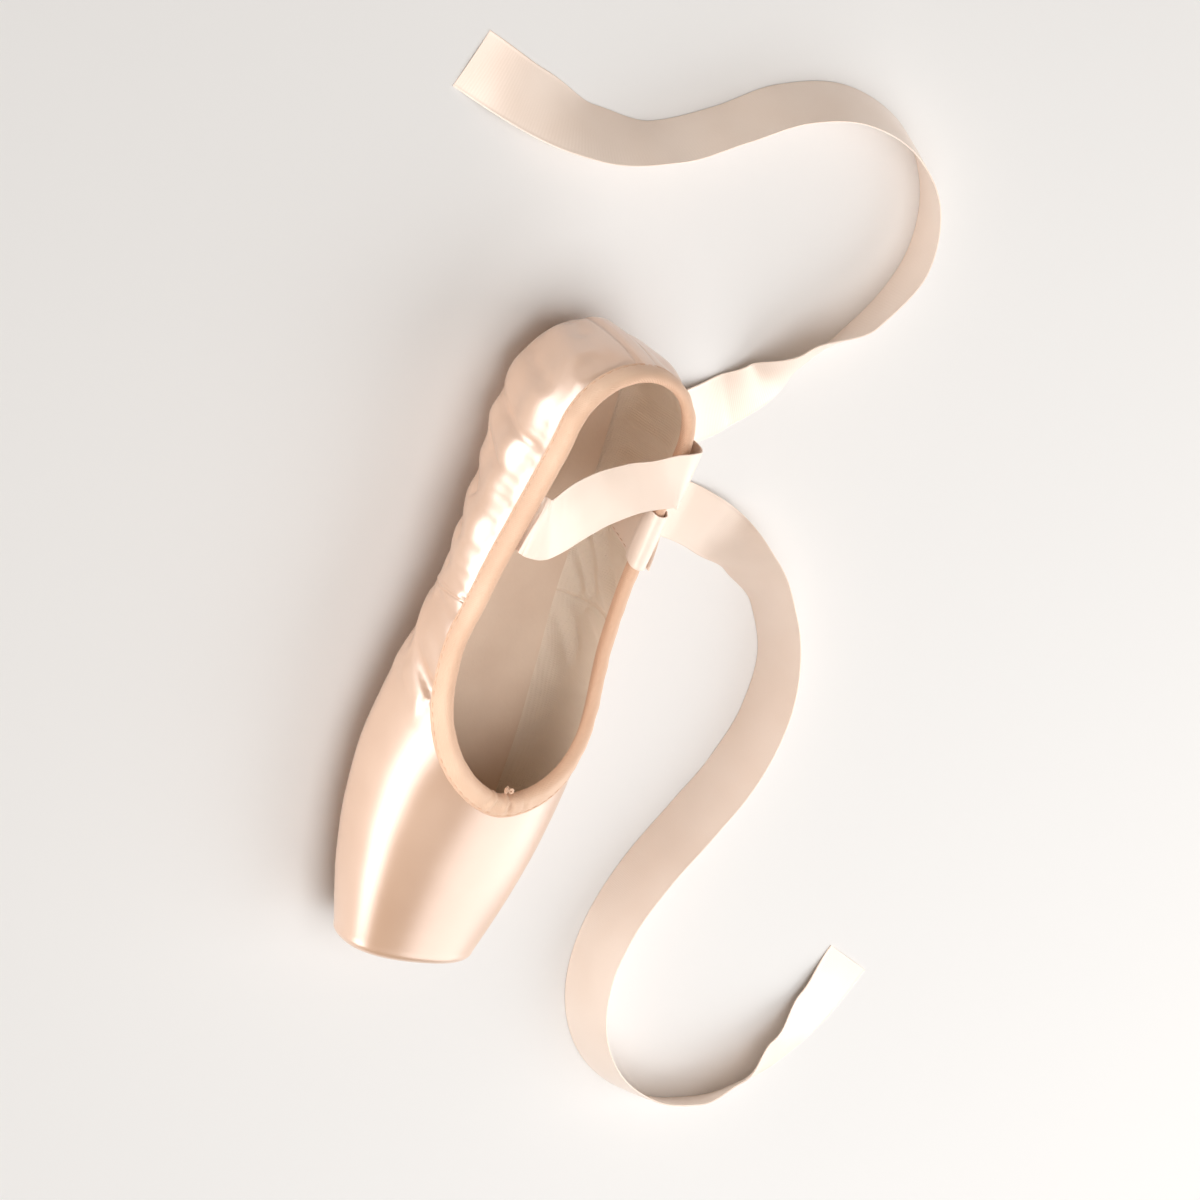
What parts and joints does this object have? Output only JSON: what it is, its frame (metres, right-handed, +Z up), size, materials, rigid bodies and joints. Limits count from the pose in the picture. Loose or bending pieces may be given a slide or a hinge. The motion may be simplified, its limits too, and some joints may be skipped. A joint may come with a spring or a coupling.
{
  "type": "pointe shoe",
  "caption": "Empty satin pointe shoe on its leather sole, with a stiff box ending in a flat platform, a tape-bound collar and loose ankle ribbons.",
  "frame": {"origin": "on the floor, under the middle of the shoe's length and width, ribbons left out", "axes": "+X to the toe, +Y to the wearer's left, +Z up"},
  "size_m": [0.3913, 0.3006, 0.0599],
  "materials": {
    "satin": "peach satin with a soft sheen",
    "sole_leather": "matt salmon-tan sole leather",
    "lining": "matt cotton canvas",
    "tape": "matt peach cotton tape",
    "ribbon": "pale pink satin ribbon"
  },
  "bodies": {
    "root": {"upper": "satin", "outsole": "sole_leather", "insole": "lining", "binding": "tape", "drawstring_knot": "tape", "ribbon_left_sewn_end": "ribbon", "ribbon_right_sewn_end": "ribbon", "ribbon_left": "ribbon", "ribbon_right": "ribbon"}
  },
  "joints": []
}
